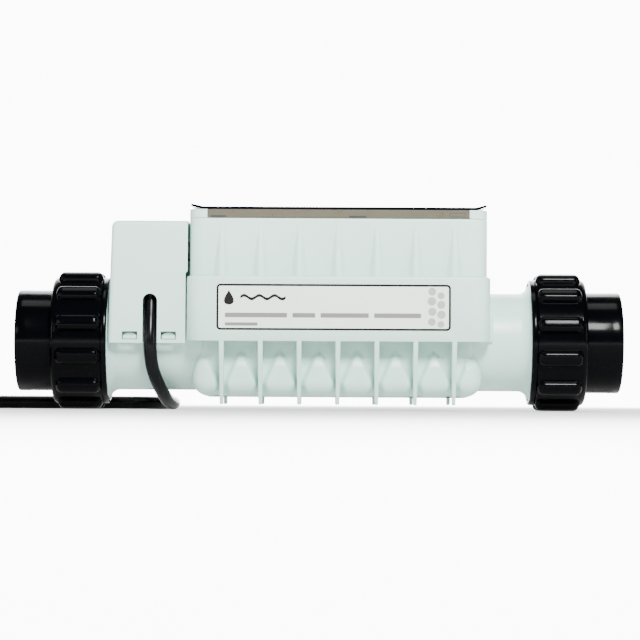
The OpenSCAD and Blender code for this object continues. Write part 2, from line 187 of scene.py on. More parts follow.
SHELL = plastic("shell_plastic", (0.515, 0.735, 0.665), 0.36, IOR=1.49)
COVER = plastic("cover_plastic", (0.50, 0.71, 0.65), 0.42, grain=1400, grain_strength=0.14)
UNION = plastic("union_plastic", (0.0007, 0.0008, 0.0012), 0.15, drift=0.25, grain=500, grain_strength=0.05,
                Specular_IOR_Level=0.05)
FITTING = plastic("black_fitting", (0.003, 0.003, 0.0034), 0.30, drift=0.2, Specular_IOR_Level=0.15)
JACKET = plastic("cord_jacket", (0.002, 0.002, 0.0024), 0.24, drift=0.2, grain=700, grain_strength=0.10,
                 Specular_IOR_Level=0.12)
SEAL = plastic("seal_rubber", (0.016, 0.016, 0.016), 0.55, drift=0.2)
LENS = plastic("lens_plastic", (0.074, 0.068, 0.043), 0.30, drift=0.05, grain_strength=0.03)
LENS_MARK = plastic("lens_mark", (0.018, 0.016, 0.012), 0.45, drift=0.10, grain_strength=0.03)
OVERLAY = plastic("overlay_sheet", (0.0014, 0.0016, 0.004), 0.14, drift=0.2, grain_strength=0.02,
                  Specular_IOR_Level=0.10)
BUTTON = plastic("button_plastic", (0.05, 0.053, 0.06), 0.40)
BUTTON_MARK = plastic("button_mark", (0.42, 0.43, 0.45), 0.40)
RESIN = plastic("potting_resin", (0.012, 0.012, 0.013), 0.25)
COMB = plastic("comb_plastic", (0.60, 0.60, 0.58), 0.45)
SENSOR = plastic("sensor_plastic", (0.03, 0.03, 0.033), 0.45)
COMPONENT = plastic("component_case", (0.08, 0.09, 0.11), 0.40)
BOARD = plastic("circuit_board", (0.012, 0.085, 0.035), 0.35, drift=0.2)
LED = plastic("led_lens", (0.55, 0.70, 0.60), 0.12, Transmission_Weight=0.5)
LABEL = plastic("label_film", (0.74, 0.83, 0.75), 0.30, drift=0.012, grain=2500, grain_strength=0.03)
LABEL_INK = plastic("label_ink", (0.007, 0.0055, 0.005), 0.40, drift=0.08, Specular_IOR_Level=0.15)
LABEL_GREY = plastic("label_grey", (0.17, 0.16, 0.155), 0.35, drift=0.03)
LABEL_PALE = plastic("label_pale", (0.34, 0.355, 0.34), 0.35, drift=0.03)


def brushed_metal(name, color, roughness, stretch):
    made = Shader(name, color, roughness, Metallic=1.0)
    made.rough(90, roughness * 0.7, roughness * 1.4, stretch)
    made.bump(220, 0.12, 0.00008, stretch=stretch)
    return made.material


STEEL = brushed_metal("stainless_steel", (0.62, 0.63, 0.64), 0.28, (1, 1, 8))
TITANIUM = brushed_metal("coated_titanium", (0.26, 0.25, 0.235), 0.45, (1, 8, 8))
BRASS = brushed_metal("turned_brass", (0.70, 0.50, 0.20), 0.25, (1, 1, 10))


def hook_and_loop():
    made = Shader("hook_and_loop", (0.03, 0.03, 0.034), 0.85, Sheen_Weight=0.1)
    made.mottle(500, (0.018, 0.018, 0.02), (0.05, 0.05, 0.056))
    made.bump(1800, 0.6, 0.0005)
    return made.material


STRAP = hook_and_loop()

NODE_MATERIALS = {
    SHELL: ["top_bezel"],
    FITTING: ["cord_gland", "gland_nut"],
    JACKET: ["sensor_cable"],
    SEAL: ["housing_gasket", "terminal_seals", "end_o_rings", "sensor_o_ring", "cable_grommet"],
    STEEL: ["bezel_screws", "switch_domes", "sensor_screws", "temperature_probe", "paddle_pin",
            "paddle_magnet"],
    TITANIUM: ["electrode_plates", "bus_bars", "terminal_rods"],
    BRASS: ["board_standoffs", "terminal_nuts", "connector_pins"],
    LENS: ["display_lens"],
    OVERLAY: ["display_overlay"],
    RESIN: ["potting_resin"],
    BOARD: ["circuit_board", "display_board"],
    COMPONENT: ["power_components", "sensor_header"],
    LED: ["status_leds", "reed_switch"],
    COMB: ["plate_combs", "flow_paddle"],
    SENSOR: ["flow_sensor", "sensor_cap"],
    STRAP: ["cord_tie"],
    BUTTON: ["more_button", "less_button", "info_button"],
}


def finish_nodes():
    """Gives every carried-over CAD node its material and softly rounded edges."""
    for material, names in NODE_MATERIALS.items():
        for name in names:
            piece = nodes[name]
            piece.data.materials.clear()
            piece.data.materials.append(material)
            round_edges(piece, 0.25)


def round_edges(piece, width):
    bevel = piece.modifiers.new("round_edges", "BEVEL")
    bevel.width = width * MM
    bevel.segments = 2
    bevel.limit_method = "ANGLE"
    bevel.angle_limit = math.radians(35)
    bevel.use_clamp_overlap = True


finish_nodes()

# ---------------------------------------------------------------- mesh helpers


def new_piece(name, data, body, slot, material, *replaced):
    piece = bpy.data.objects.new(name, data)
    bpy.context.scene.collection.objects.link(piece)
    data.materials.clear()
    data.materials.append(material)
    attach(piece, body)
    if replaced:
        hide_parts(*replaced)
    return piece


def shade(mesh, sharp_above=32):
    mesh.shade_smooth()
    mesh.set_sharp_from_angle(angle=math.radians(sharp_above))
    return mesh


def make_mesh(name, vertices, faces):
    """A closed mesh from millimetre points, with its normals outward."""
    mesh = bpy.data.meshes.new(name)
    mesh.from_pydata([Vector(v) * MM for v in vertices], [], faces)
    work = bmesh.new()
    work.from_mesh(mesh)
    bmesh.ops.recalc_face_normals(work, faces=work.faces)
    work.to_mesh(mesh)
    work.free()
    return mesh


def loft(name, rings, capped=True, closed=False):
    """Skin over rings of equal length. A closed loft joins its last ring to its first."""
    count = len(rings[0])
    vertices = [v for ring in rings for v in ring]
    faces = []
    last = len(rings) if closed else len(rings) - 1
    for i in range(last):
        a = i * count
        b = ((i + 1) % len(rings)) * count
        for k in range(count):
            n = (k + 1) % count
            faces.append((a + k, a + n, b + n, b + k))
    if capped and not closed:
        faces.append(tuple(reversed(range(count))))
        faces.append(tuple(range((len(rings) - 1) * count, len(rings) * count)))
    return make_mesh(name, vertices, faces)


def arc(centre, radius, start, stop, steps):
    """Points round an arc in the plane, angles in degrees."""
    out = []
    for i in range(steps + 1):
        a = math.radians(start + (stop - start) * i / steps)
        out.append((centre[0] + radius * math.cos(a), centre[1] + radius * math.sin(a)))
    return out


def lathe(name, profile, centre=PIPE, axis="X", segments=144):
    """A closed profile of (distance along the axis, radius) turned about an X or Z axis through centre."""
    cx, cy, cz = centre
    rings = []
    for i in range(segments):
        s, c = math.sin(math.tau * i / segments), math.cos(math.tau * i / segments)
        if axis == "X":
            rings.append([(cx + w, cy + r * s, cz + r * c) for w, r in profile])
        else:
            rings.append([(cx + r * c, cy + r * s, cz + w) for w, r in profile])
    return loft(name, rings, capped=False, closed=True)


def hole(x, y, low, high, radius, segments=40):
    return lathe("hole", [(low, 0.01), (low, radius), (high, radius), (high, 0.01)], (x, y, 0), "Z", segments)


def side_hole(y, z, low, high, radius, segments=40):
    return lathe("hole", [(low, 0.01), (low, radius), (high, radius), (high, 0.01)], (0, y, z), "X", segments)


def mirrored(profile):
    return [(-p[0], *p[1:]) for p in profile]


def prism(name, outline, low, high, axis, edge=0.0, steps=3):
    """An outline extruded from low to high along an axis, its rims rounded by edge.

    Axis X takes an outline in (Y, Z), axis Y in (X, Z) and axis Z in (X, Y).
    """
    place = {
        "X": lambda u, v, w: (w, u, v),
        "Y": lambda u, v, w: (u, w, v),
        "Z": lambda u, v, w: (u, v, w),
    }[axis]
    levels = [(low, 0.0), (high, 0.0)]
    if edge:
        rim = [(math.sin(math.radians(90 * s / steps)), math.cos(math.radians(90 * s / steps)))
               for s in range(steps + 1)]
        levels = [(low + edge * (1 - c), edge * (1 - s)) for s, c in rim]
        levels += [(high - edge * (1 - c), edge * (1 - s)) for s, c in reversed(rim)]
    rings = []
    for w, inset in levels:
        rings.append([place(u, v, w) for u, v in shrunk(outline, inset)])
    return loft(name, rings)


def shrunk(outline, inset):
    """The outline moved inward by inset at every point."""
    if not inset:
        return outline
    area = sum(a[0] * b[1] - b[0] * a[1] for a, b in zip(outline, outline[1:] + outline[:1]))
    sign = 1 if area > 0 else -1
    out = []
    for i, here in enumerate(outline):
        before = Vector(outline[i - 1])
        after = Vector(outline[(i + 1) % len(outline)])
        a = (Vector(here) - before).normalized()
        b = (after - Vector(here)).normalized()
        normal = Vector((-(a.y + b.y), a.x + b.x)) * sign
        if normal.length < 1e-6:
            out.append(here)
            continue
        normal.normalize()
        square = Vector((-a.y, a.x)) * sign
        out.append(tuple(Vector(here) + normal * inset / max(0.35, normal.dot(square))))
    return out


def box_outline(u0, u1, v0, v1, radius, steps=6):
    out = []
    for centre, start in (((u1 - radius, v0 + radius), -90), ((u1 - radius, v1 - radius), 0),
                          ((u0 + radius, v1 - radius), 90), ((u0 + radius, v0 + radius), 180)):
        out += arc(centre, radius, start, start + 90, steps)
    return out


def combine(name, base, others, operation="UNION"):
    """One mesh from several closed ones, by a manifold boolean for each."""
    result = base
    for other in others:
        first = bpy.data.objects.new("work", result)
        second = bpy.data.objects.new("tool", other)
        for piece in (first, second):
            bpy.context.scene.collection.objects.link(piece)
        boolean = first.modifiers.new("boolean", "BOOLEAN")
        boolean.solver = "MANIFOLD"
        boolean.operation = operation
        boolean.object = second
        graph = bpy.context.evaluated_depsgraph_get()
        result = bpy.data.meshes.new_from_object(first.evaluated_get(graph))
        for piece in (first, second):
            bpy.data.objects.remove(piece)
    result.name = name
    return result


# ---------------------------------------------------------------- cell body

RIB_PITCH = 29.05
RIBS = [BODY_MIDDLE + (i - 3) * RIB_PITCH for i in range(7)]
CHAMBER_BOTTOM = 9.8
CHAMBER_TOP = 84.5
BAND_BOTTOM = BODY_HIGH[2] - 49.4
BAND_TOP = BODY_HIGH[2]
RIB_TIP = BODY_LOW[2]
# How far the chamber's wall stands out from the loop it is drawn on
WALL_OUT = 4.8


def ease(t):
    t = min(1.0, max(0.0, t))
    return t * t * (3 - 2 * t)


def offset_loop(x0, x1, half_y, radius, stations):
    """Points round a rounded rectangle as (x, y, outward x, outward y), alike at the front and the back."""
    loop = []
    inner = [x for x in stations if x0 + radius < x < x1 - radius]
    loop += [(x, -half_y, 0.0, -1.0) for x in inner]
    loop += corner_points(x1 - radius, -half_y + radius, radius, -90)
    loop += [(x1, y, 1.0, 0.0) for y in side_stations(half_y - radius)]
    loop += corner_points(x1 - radius, half_y - radius, radius, 0)
    loop += [(x, half_y, 0.0, 1.0) for x in reversed(inner)]
    loop += corner_points(x0 + radius, half_y - radius, radius, 90)
    loop += [(x0, -y, -1.0, 0.0) for y in side_stations(half_y - radius)]
    loop += corner_points(x0 + radius, -half_y + radius, radius, 180)
    return loop


def corner_points(x, y, radius, start, steps=10):
    out = []
    for i in range(steps + 1):
        a = math.radians(start + 90 * i / steps)
        out.append((x + radius * math.cos(a), y + radius * math.sin(a), math.cos(a), math.sin(a)))
    return out


def side_stations(reach, count=16):
    return [-reach + 2 * reach * (i + 0.5) / count for i in range(count)]


def offset_loft(name, loop, levels, relief=None):
    """Rings at (height, outward offset, how much relief) over one base loop."""
    rings = []
    for z, out, strength in levels:
        ring = []
        for x, y, nx, ny in loop:
            d = out
            if relief and strength:
                d += strength * relief(x, z, ny)
            ring.append((x + nx * d, y + ny * d, z))
        rings.append(ring)
    return loft(name, rings)


# Relief between the lower ribs: where it starts, how far below that it is full, how far it stands out
RELIEF_TOP, RELIEF_DROP, RELIEF_OUT = 46.8, 26.0, 5.2


def bay_relief(x, z, ny):
    """Teardrop bulge of the chamber wall between two ribs, pointed under the band and full at the foot."""
    drop = (RELIEF_TOP - z) / RELIEF_DROP
    if drop <= 0:
        return 0.0
    end = RELIEF_OUT * ease(drop * 1.2)
    bay = (x - RIBS[0]) / RIB_PITCH
    middle = RIBS[0] + (math.floor(bay) + 0.5) * RIB_PITCH
    away = abs(x - middle)
    half = 12.3 * min(1.0, drop) ** 0.95 - 0.028 * max(0.0, 21.0 - z) ** 2
    edge = 3.0 + 2.2 * min(1.0, drop)
    full = ease((half + edge * 0.35 - away) / edge)
    front = RELIEF_OUT * ease(drop * 1.7) * full
    return front * ny * ny + end * (1 - ny * ny)


def chamber_mesh():
    step = 0.85
    count = int((CHAMBER_X1 - CHAMBER_X0 - 24) / step) + 1
    stations = [CHAMBER_X0 + 12 + i * step for i in range(count)]
    loop = offset_loop(CHAMBER_X0 + 10, CHAMBER_X1 - 10, 34, 2, stations)
    foot = 12.0
    levels = []
    for i in range(0, 10):
        a = math.radians(90 * i / 9)
        levels.append((CHAMBER_BOTTOM + foot * (1 - math.cos(a)), WALL_OUT - foot * (1 - math.sin(a)),
                       math.sin(a) ** 0.6))
    z = CHAMBER_BOTTOM + foot + 1.0
    while z < 51:
        levels.append((z, WALL_OUT, 1.0))
        z += 1.0
    levels.append((52.0, WALL_OUT, 1.0))
    levels.append((CHAMBER_TOP, WALL_OUT, 0.0))
    return offset_loft("chamber", loop, levels, bay_relief)


def band_mesh():
    loop = offset_loop(BAND_X0, BAND_X1, BAND_Y, 12, [BAND_X0 + 13 + i * 5 for i in range(41)])
    levels = [(CHAMBER_TOP - 0.5, -3.2, 0), (BAND_BOTTOM + 0.4, -3.2, 0), (BAND_BOTTOM, -2.8, 0),
              (BAND_BOTTOM, -0.9, 0), (BAND_BOTTOM + 0.2, -0.35, 0), (BAND_BOTTOM + 0.8, 0, 0),
              (BAND_TOP - 2.4, 0, 0), (BAND_TOP - 1.7, -0.12, 0), (BAND_TOP - 1.2, -0.5, 0),
              (BAND_TOP - 0.9, -1.1, 0), (BAND_TOP, -4.6, 0)]
    return offset_loft("band", loop, levels)


def fin_mesh(x, side):
    """Thin lower rib, flush with the band at the top and leaning in to a blunt tip below the chamber."""
    levels = [(RIB_TIP, 0.35), (RIB_TIP + 0.4, 0.1), (RIB_TIP + 1.0, 0.0), (14, 0), (26, 0), (38, 0),
              (BAND_BOTTOM, 0), (60, 0)]
    tip_out, tip_in, nose = 44.3, 41.8, 0.75
    rings = []
    for z, shrink in levels:
        t = min(1.0, (z - RIB_TIP) / (BAND_BOTTOM - RIB_TIP))
        outer = tip_out + (BAND_Y - 0.1 - tip_out) * t - shrink
        inner = tip_in - 3.8 * min(1.0, (z - RIB_TIP) / 12) + shrink
        half = (1.35 + 0.55 * t) - shrink * 0.7
        section = [(-half, inner), (half, inner)] + arc((half - nose, outer - nose), nose, 0, 90, 4)
        section += arc((nose - half, outer - nose), nose, 90, 180, 4)
        rings.append([(x + u, side * v, z) for u, v in section])
    return loft("fin", rings)


def end_profile():
    """Profile of the outlet end: tube, collar, thread and end face, then back along the bore."""
    out = [(88, TUBE_R)]
    out += [(152 + 8 * math.sin(math.radians(a)), TUBE_R + 8 * (1 - math.cos(math.radians(a))))
            for a in range(0, 76, 5)]
    out += [(160.4, 43.6), (160.9, 44.2), (161.5, 44.4), (165.6, 44.4), (166.0, 44.1), (166.4, 41.8)]
    for k in range(4):
        out += [(168 + 4 * k, 41.8), (168.6 + 4 * k, 43.2), (169.8 + 4 * k, 43.2), (170.4 + 4 * k, 41.8)]
    out += [(185.2, 41.8), (186, 41.0), (186, 36.4), (183.2, 36.4), (183.2, 32.6), (186, 32.6),
            (186, 28.6), (185.4, FLOW_R), (88, FLOW_R)]
    return out


def cell_shell():
    profile = end_profile()
    parts = [band_mesh(), lathe("outlet_end", profile), lathe("inlet_end", mirrored(profile))]
    parts += [fin_mesh(x, side) for x in RIBS for side in (-1, 1)]
    parts.append(prism("end_pad", box_outline(-40, 40, BAND_BOTTOM, 73, 1.5, 3), 120, 131, "X", 0.8))
    boss = box_outline(SENSOR_X - 21, SENSOR_X + 21, -20, 20, 4)
    parts.append(prism("sensor_boss", boss, 83, 92, "Z", 0.6))
    for x in (-147.5, -118.3):
        for side in (-1, 1):
            tab = [(x, 53.0), (x + 10.5, 53.0), (x + 10.5, 55.4)]
            tab += arc((x + 5.25, 51.3), 6.7, 42, 138, 8)
            tab.append((x, 55.4))
            low, high = sorted((side * 30, side * 44.6))
            parts.append(prism("tab", tab, low, high, "Y", 0.4))
    parts += [rib_foot(x, side) for x in RIBS for side in (-1, 1)]
    body = combine("cell", chamber_mesh(), parts)
    cuts = [side_hole(0, AXIS_Z, -95, -60, FLOW_R, 144), side_hole(0, AXIS_Z, 84, 122, FLOW_R, 144)]
    cuts.append(prism("flow_space", box_outline(-38, 38, 16, 83.9, 8), CHAMBER_X0 + 10.5, CHAMBER_X1 - 10.5,
                      "X"))
    cuts.append(prism("tray", box_outline(HOUSING_LOW[0] - 0.15, HOUSING_HIGH[0] + 0.15, -HOUSING_Y - 0.15,
                                          HOUSING_Y + 0.15, 11), 90, 104, "Z"))
    cuts.append(prism("label_recess", box_outline(-76.8, 98.3, 59.7, 94.3, 3), -59, -57.2, "Y"))
    cuts.append(hole(SENSOR_X, 0, 62, 95, 16.2, 96))
    cuts += [hole(SENSOR_X + x, y, 82, 95, 1.6, 24) for x in (-17, 17) for y in (-16, 16)]
    for x in TERMINALS:
        cuts += [hole(x, 0, 80, 92, 3.05), hole(x, 0, 87.5, 92, 6.05)]
    return combine("cell_shell", body, cuts, "DIFFERENCE")


UPPER_RIB_HIGH, UPPER_RIB_OUT = 38.5, 4.6
# Flank of an upper rib from its foot to its ridge, as fractions of its width and height
RIB_FLANK = ((1.0, 0.0), (0.86, 0.04), (0.78, 0.10), (0.70, 0.18), (0.14, 0.80), (0.07, 0.87), (0.0, 0.93))


def upper_rib_columns(z):
    """Columns across one upper rib at a height, as (distance from its middle, how far it stands out)."""
    t = min(1.0, max(0.0, (z - BAND_TOP) / UPPER_RIB_HIGH))
    ridge = 1.7 - 0.8 * t
    foot = 6.0 * (1 - t) + 1.2
    soft = min(0.35, (foot - ridge) / 4)
    height = UPPER_RIB_OUT * (1 - t)
    flank = foot - ridge - soft
    half = [(ridge + soft + out * flank, up * height) for out, up in RIB_FLANK] + [(ridge - soft, height)]
    return [(-w, h) for w, h in half] + [(0.0, height)] + [(w, h) for w, h in reversed(half)]


def rib_foot(x, side):
    """Foot of an upper rib, standing on the band's sloping ledge."""
    columns = [(w, max(h, 0.9)) for w, h in upper_rib_columns(BAND_TOP)]
    outline = [(x + w, side * (HOUSING_Y + h)) for w, h in columns]
    outline += [(x + columns[-1][0], side * (HOUSING_Y + 0.6)), (x + columns[0][0], side * (HOUSING_Y + 0.6))]
    return prism("rib_foot", outline, BAND_TOP - 2.5, BAND_TOP, "Z")


new_piece("cell_shell", shade(cell_shell()), "cell", "shell", SHELL, "cell_body")

# ---------------------------------------------------------------- electronics housing


def housing_ring(z, out, ribbed):
    front = []
    for rib in RIBS:
        front += [(rib + w, -HOUSING_Y - out - ribbed * h, z) for w, h in upper_rib_columns(z)]
    r = 11.0
    x0, x1 = HOUSING_LOW[0], HOUSING_HIGH[0]
    ring = list(front)
    for x, y, start in ((x1 - r, r - HOUSING_Y, -90), (x1 - r, HOUSING_Y - r, 0)):
        ring += [(px + nx * out, py + ny * out, z) for px, py, nx, ny in corner_points(x, y, r, start)]
    ring += [(x, -y, z) for x, y, z in reversed(front)]
    for x, y, start in ((x0 + r, HOUSING_Y - r, 90), (x0 + r, r - HOUSING_Y, 180)):
        ring += [(px + nx * out, py + ny * out, z) for px, py, nx, ny in corner_points(x, y, r, start)]
    return ring


def housing_shell():
    low, high = HOUSING_LOW[2], HOUSING_HIGH[2]
    levels = [(low, -0.5, 0), (low + 0.5, 0, 0), (BAND_TOP + 0.004, 0, 0), (BAND_TOP + 0.01, 0, 1)]
    levels += [(z, 0, 1) for z in (105, 110, 116, 122, 128, 133, 137, 139.4)]
    levels += [(high - 1.6, 0, 0), (high - 0.9, -0.1, 0), (high - 0.4, -0.4, 0), (high, -1.0, 0)]
    shell = loft("housing", [housing_ring(*level) for level in levels])
    inside = box_outline(HOUSING_LOW[0] + 3, HOUSING_HIGH[0] - 3, 3 - HOUSING_Y, HOUSING_Y - 3, 7)
    cavity = prism("cavity", inside, low + 3, high + 1, "Z")
    shell = combine("housing", shell, [cavity], "DIFFERENCE")
    posts = [hole(x, y, low + 1, high - 0.02, 3.5) for x, y in HOUSING_SCREWS]
    shell = combine("housing", shell, posts)
    cuts = [hole(x, y, 130, high + 1, 1.55, 24) for x, y in HOUSING_SCREWS]
    cuts += [hole(x, 0, low - 1, low + 4, 6.2) for x in TERMINALS]
    cuts += [side_hole(-33, 120, HOUSING_LOW[0] - 1, HOUSING_LOW[0] + 4, 6.1),
             side_hole(12, 120, HOUSING_LOW[0] - 1, HOUSING_LOW[0] + 4, 5)]
    return combine("housing_shell", shell, cuts, "DIFFERENCE")


new_piece("housing_shell", shade(housing_shell()), "cell", "shell", SHELL, "electronics_housing")

# ---------------------------------------------------------------- unions

NUT_R = 48.4
# A lobe's middle along the axis, its half length and half width, the radius of its edge, and its height
LOBE_X, LOBE_LONG, LOBE_WIDE, LOBE_EDGE, LOBE_HIGH = 181.6, 17.1, 6.2, 5.0, 5.1
LOBE_COLUMNS = (0.0, 1.5, 2.7, 3.6, 4.4, 5.0, 5.5, 5.9, 6.15, 6.3, 7.2, 9.0, 11.0)


def lobe_height(x, across):
    """Height of one rounded lobe on the nut's rim, with a full round edge."""
    qx = abs(x - LOBE_X) - (LOBE_LONG - LOBE_EDGE)
    qy = abs(across) - (LOBE_WIDE - LOBE_EDGE)
    outside = math.hypot(max(qx, 0), max(qy, 0)) + min(max(qx, qy), 0) - LOBE_EDGE
    depth = min(1.0, max(0.0, -outside) / 4.6)
    return LOBE_HIGH * math.sqrt(1 - (1 - depth) ** 2)


def nut_profile():
    outer = [(160.0, 46.4), (160.15, 47.1), (160.5, 47.7), (161.1, 48.0), (163.6, 48.0), (164.1, 47.8),
             (164.3, 47.2)]
    steps = (0.1, 0.25, 0.45, 0.75, 1.2, 1.8, 2.6, 3.6, 4.8)
    outer += [(164.5 + s, 48.0 + 0.4 * min(1, s)) for s in steps]
    outer += [(171.5 + 3.4 * i, NUT_R) for i in range(7)]
    outer += [(198.7 - s, NUT_R) for s in reversed(steps)]
    outer += [(199.0, 48.3), (199.9, 48.1), (200.8, 47.7), (201.6, 47.1), (202.1, 46.5), (202.4, 45.8),
              (202.5, 45.0)]
    inner = [(202.5, 40.0), (202.3, 39.4), (201.9, 38.95), (195.3, 38.9), (195.0, 39.2), (195.0, 43.4),
             (194.6, 43.8)]
    for k in range(4):
        inner += [(185.4 - 4 * k, 43.8), (184.8 - 4 * k, 44.2), (183.6 - 4 * k, 44.2), (183.0 - 4 * k, 43.8)]
    inner += [(167.2, 43.8), (166.6, 45.0), (160.4, 45.0), (160.0, 45.4)]
    return outer, inner


def union_nut(name, side):
    outer, inner = nut_profile()
    columns = [(k * 30 + 15, s * w) for k in range(12)
               for s, ws in ((-1, reversed(LOBE_COLUMNS[1:])), (1, LOBE_COLUMNS)) for w in ws]
    rings = []
    for i, (x, r) in enumerate(outer + inner):
        ring = []
        for middle, across in columns:
            angle = math.radians(middle) + across / NUT_R
            reach = r + (lobe_height(x, across) if i < len(outer) else 0.0)
            ring.append((side * x, reach * math.sin(angle), AXIS_Z + reach * math.cos(angle)))
        rings.append(ring)
    return loft(name, rings, capped=False, closed=True)


def tailpiece(name, side):
    end = TAIL_END
    profile = [(186.2, 27.3), (186.2, 42.4), (186.8, 43.0), (194.2, 43.0), (194.55, 42.6), (194.6, 38.9),
               (195.1, 38.55), (196.0, 38.4), (end - 9.2, 38.4), (end - 8.6, 38.5), (end - 1.5, 38.5),
               (end - 0.8, 38.3), (end - 0.3, 37.8), (end, 37.0), (end, 31.9), (end - 0.4, 31.2),
               (end - 1.2, 30.5), (end - 2.4, 30.3), (end - 37.6, 30.3), (end - 38, 29.9), (end - 38, 27.2),
               (end - 38.6, 26.5), (187.0, 26.5)]
    return lathe(name, [(side * x, r) for x, r in profile])


for label, side in (("inlet", -1), ("outlet", 1)):
    new_piece(label + "_nut_moulding", shade(union_nut(label, side), 40), label + "_nut", "union", UNION,
              label + "_union_nut")
    new_piece(label + "_tail_turning", shade(tailpiece(label, side)), label + "_tail", "union", UNION,
              label + "_tailpiece")

# ---------------------------------------------------------------- sensor cover


def cover_shell():
    outline = [(-159.1, 40), (-92, 40), (-92, 142)] + arc((-151.2, 137), 5, 90, 180, 8)
    shell = prism("cover", outline, -48, 48, "Y", 3.8, 6)
    inside = [(-156.3, 30), (-80, 30), (-80, 139.3), (-152.6, 139.3), (-153.8, 137.8)]
    cuts = [prism("inside", inside, -45.3, 45.3, "Y", 1.2),
            prism("open_side", box_outline(-60, 60, 30, 160, 1), -99, -80, "X"),
            prism("step", [(-100.5, 30), (-90, 30), (-90, 104.1), (-99, 104.1), (-100.5, 102.6)], -60, 60,
                  "Y"),
            prism("foot", box_outline(-170, -70, -60, 60, 1), 20, 50, "Z"),
            prism("arch", arc((0, AXIS_Z), 42.2, 0, 180, 40) + [(-42.2, 45), (42.2, 45)], -165, -150, "X"),
            prism("slot", arc((-127.1, 81.6), 5.45, 0, 180, 20) + [(-132.55, 45), (-121.65, 45)], -52, -40,
                  "Y")]
    for x in (-148.0, -118.9):
        for low, high in ((-52, -42), (42, 52)):
            cuts.append(prism("window", box_outline(x, x + 11.6, 52.5, 58.6, 0.6, 3), low, high, "Y"))
    return combine("cover_shell", shell, cuts, "DIFFERENCE")


new_piece("cover_shell", shade(cover_shell()), "cover", "cover", COVER, "sensor_cover")

# ---------------------------------------------------------------- label

LABEL_FACE = -58.05
# Printed marks stand between these two depths
INK_FRONT, INK_BACK = LABEL_FACE - 0.07, LABEL_FACE - 0.01


def border(name, outline, width, low, high):
    """A closed outline drawn as a line of some width, standing between two depths along Y."""
    inner = shrunk(outline, width)
    rings = [[(u, w, v) for u, v in line] for line, w in
             ((outline, low), (outline, high), (inner, high), (inner, low))]
    return loft(name, rings, capped=False, closed=True)


def flat_shapes(name, outlines):
    """Printed areas, each a thin prism on the label's face."""
    whole = bmesh.new()
    for outline in outlines:
        whole.from_mesh(prism("area", outline, INK_FRONT, INK_BACK, "Y"))
    mesh = bpy.data.meshes.new(name)
    whole.to_mesh(mesh)
    whole.free()
    return mesh


def bar(x0, x1, z0, z1):
    return box_outline(x0, x1, z0, z1, min(0.5, (z1 - z0) * 0.3), 3)


def water_drop(x, z, size):
    out = []
    for i in range(40):
        t = math.tau * (i + 0.5) / 40
        out.append((x + size * 0.95 * math.sin(t) * math.sin(t / 2) ** 1.6, z + size * math.cos(t)))
    return out


def wave(x0, x1, z, swing, thickness, length):
    steps = 90
    xs = [x0 + (x1 - x0) * i / steps for i in range(steps + 1)]
    top = [(x, z + thickness / 2 + swing * math.sin(math.tau * (x - x0) / length)) for x in xs]
    foot = [(x, z - thickness / 2 + swing * math.sin(math.tau * (x - x0) / length)) for x in reversed(xs)]
    return foot[::-1] + top[::-1]


def bubble(x, z, radius):
    return arc((x, z), radius, 0, 350, 35)


def add_label():
    outline = box_outline(-76.7, 98.2, 59.8, 94.2, 2.9)
    plate = prism("label_film", outline, LABEL_FACE, -57.25, "Y")
    new_piece("label_film", shade(plate), "cell", "label", LABEL, "label_plate")
    line = border("label_line", outline, 1.5, INK_FRONT, INK_BACK)
    new_piece("label_line", shade(line), "cell", "label", LABEL_INK)
    marks = [water_drop(-67.5, 84.2, 5.6), wave(-59, -25, 84.3, 1.3, 2.2, 11.4)]
    new_piece("label_marks", shade(flat_shapes("label_marks", marks)), "cell", "label", LABEL_INK)
    words = [bar(x0, x1, 69.2, 72.6) for x0, x1 in ((-70.4, -24), (-20, -3), (1, 37), (41, 76))]
    words.append(bar(-70.4, -46, 63.0, 65.4))
    new_piece("label_bars", shade(flat_shapes("label_bars", words)), "cell", "label", LABEL_GREY)
    bubbles = [bubble(84.2, 89.0, 2.9), bubble(90.9, 86.0, 2.6), bubble(84.0, 81.8, 3.2),
               bubble(91.0, 79.2, 3.0), bubble(84.4, 74.0, 3.0), bubble(91.2, 71.8, 3.1),
               bubble(84.0, 66.4, 2.9), bubble(90.8, 64.6, 2.5)]
    new_piece("label_bubbles", shade(flat_shapes("label_bubbles", bubbles)), "cell", "label", LABEL_PALE)


add_label()


def add_lens_marks():
    """Dark marks along the foot of the lens, and the outline of a small window."""
    front, back = -HOUSING_Y - 0.05, -HOUSING_Y - 0.01
    whole = bmesh.new()
    for x0, x1 in ((-82.0, -70.0), (21.8, 35.0)):
        whole.from_mesh(prism("clip", box_outline(x0, x1, 144.3, 145.8, 0.5, 3), front, back, "Y"))
    whole.from_mesh(border("window", box_outline(97.2, 109.0, 145.3, 148.4, 0.4, 3), 0.35, front, back))
    mesh = bpy.data.meshes.new("lens_marks")
    whole.to_mesh(mesh)
    whole.free()
    new_piece("lens_marks", shade(mesh), "cell", "lens", LENS_MARK)


add_lens_marks()


def add_button_marks():
    """A raised plus, minus and dot on the caps of the three buttons."""
    arm, half = 2.4, 0.5
    plus = [(arm, -half), (arm, half), (half, half), (half, arm), (-half, arm), (-half, half),
            (-arm, half), (-arm, -half), (-half, -half), (-half, -arm), (half, -arm), (half, -half)]
    minus = [(arm, -half), (arm, half), (-arm, half), (-arm, -half)]
    dot = arc((0, 0), 1.2, 0, 345, 23)
    for name, outline in (("more", plus), ("less", minus), ("info", dot)):
        low, high = [[v / MM for v in corner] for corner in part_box(name + "_button")]
        x, y = (low[0] + high[0]) / 2, (low[1] + high[1]) / 2
        mark = prism(name + "_mark", [(x + u, y + v) for u, v in outline], high[2] - 0.3, high[2] + 0.12, "Z")
        new_piece(name + "_mark", shade(mark), "button_" + name, "button", BUTTON_MARK)


add_button_marks()

# ---------------------------------------------------------------- power cord

CORD_D = 10.0
RELIEF_Y = -37.0
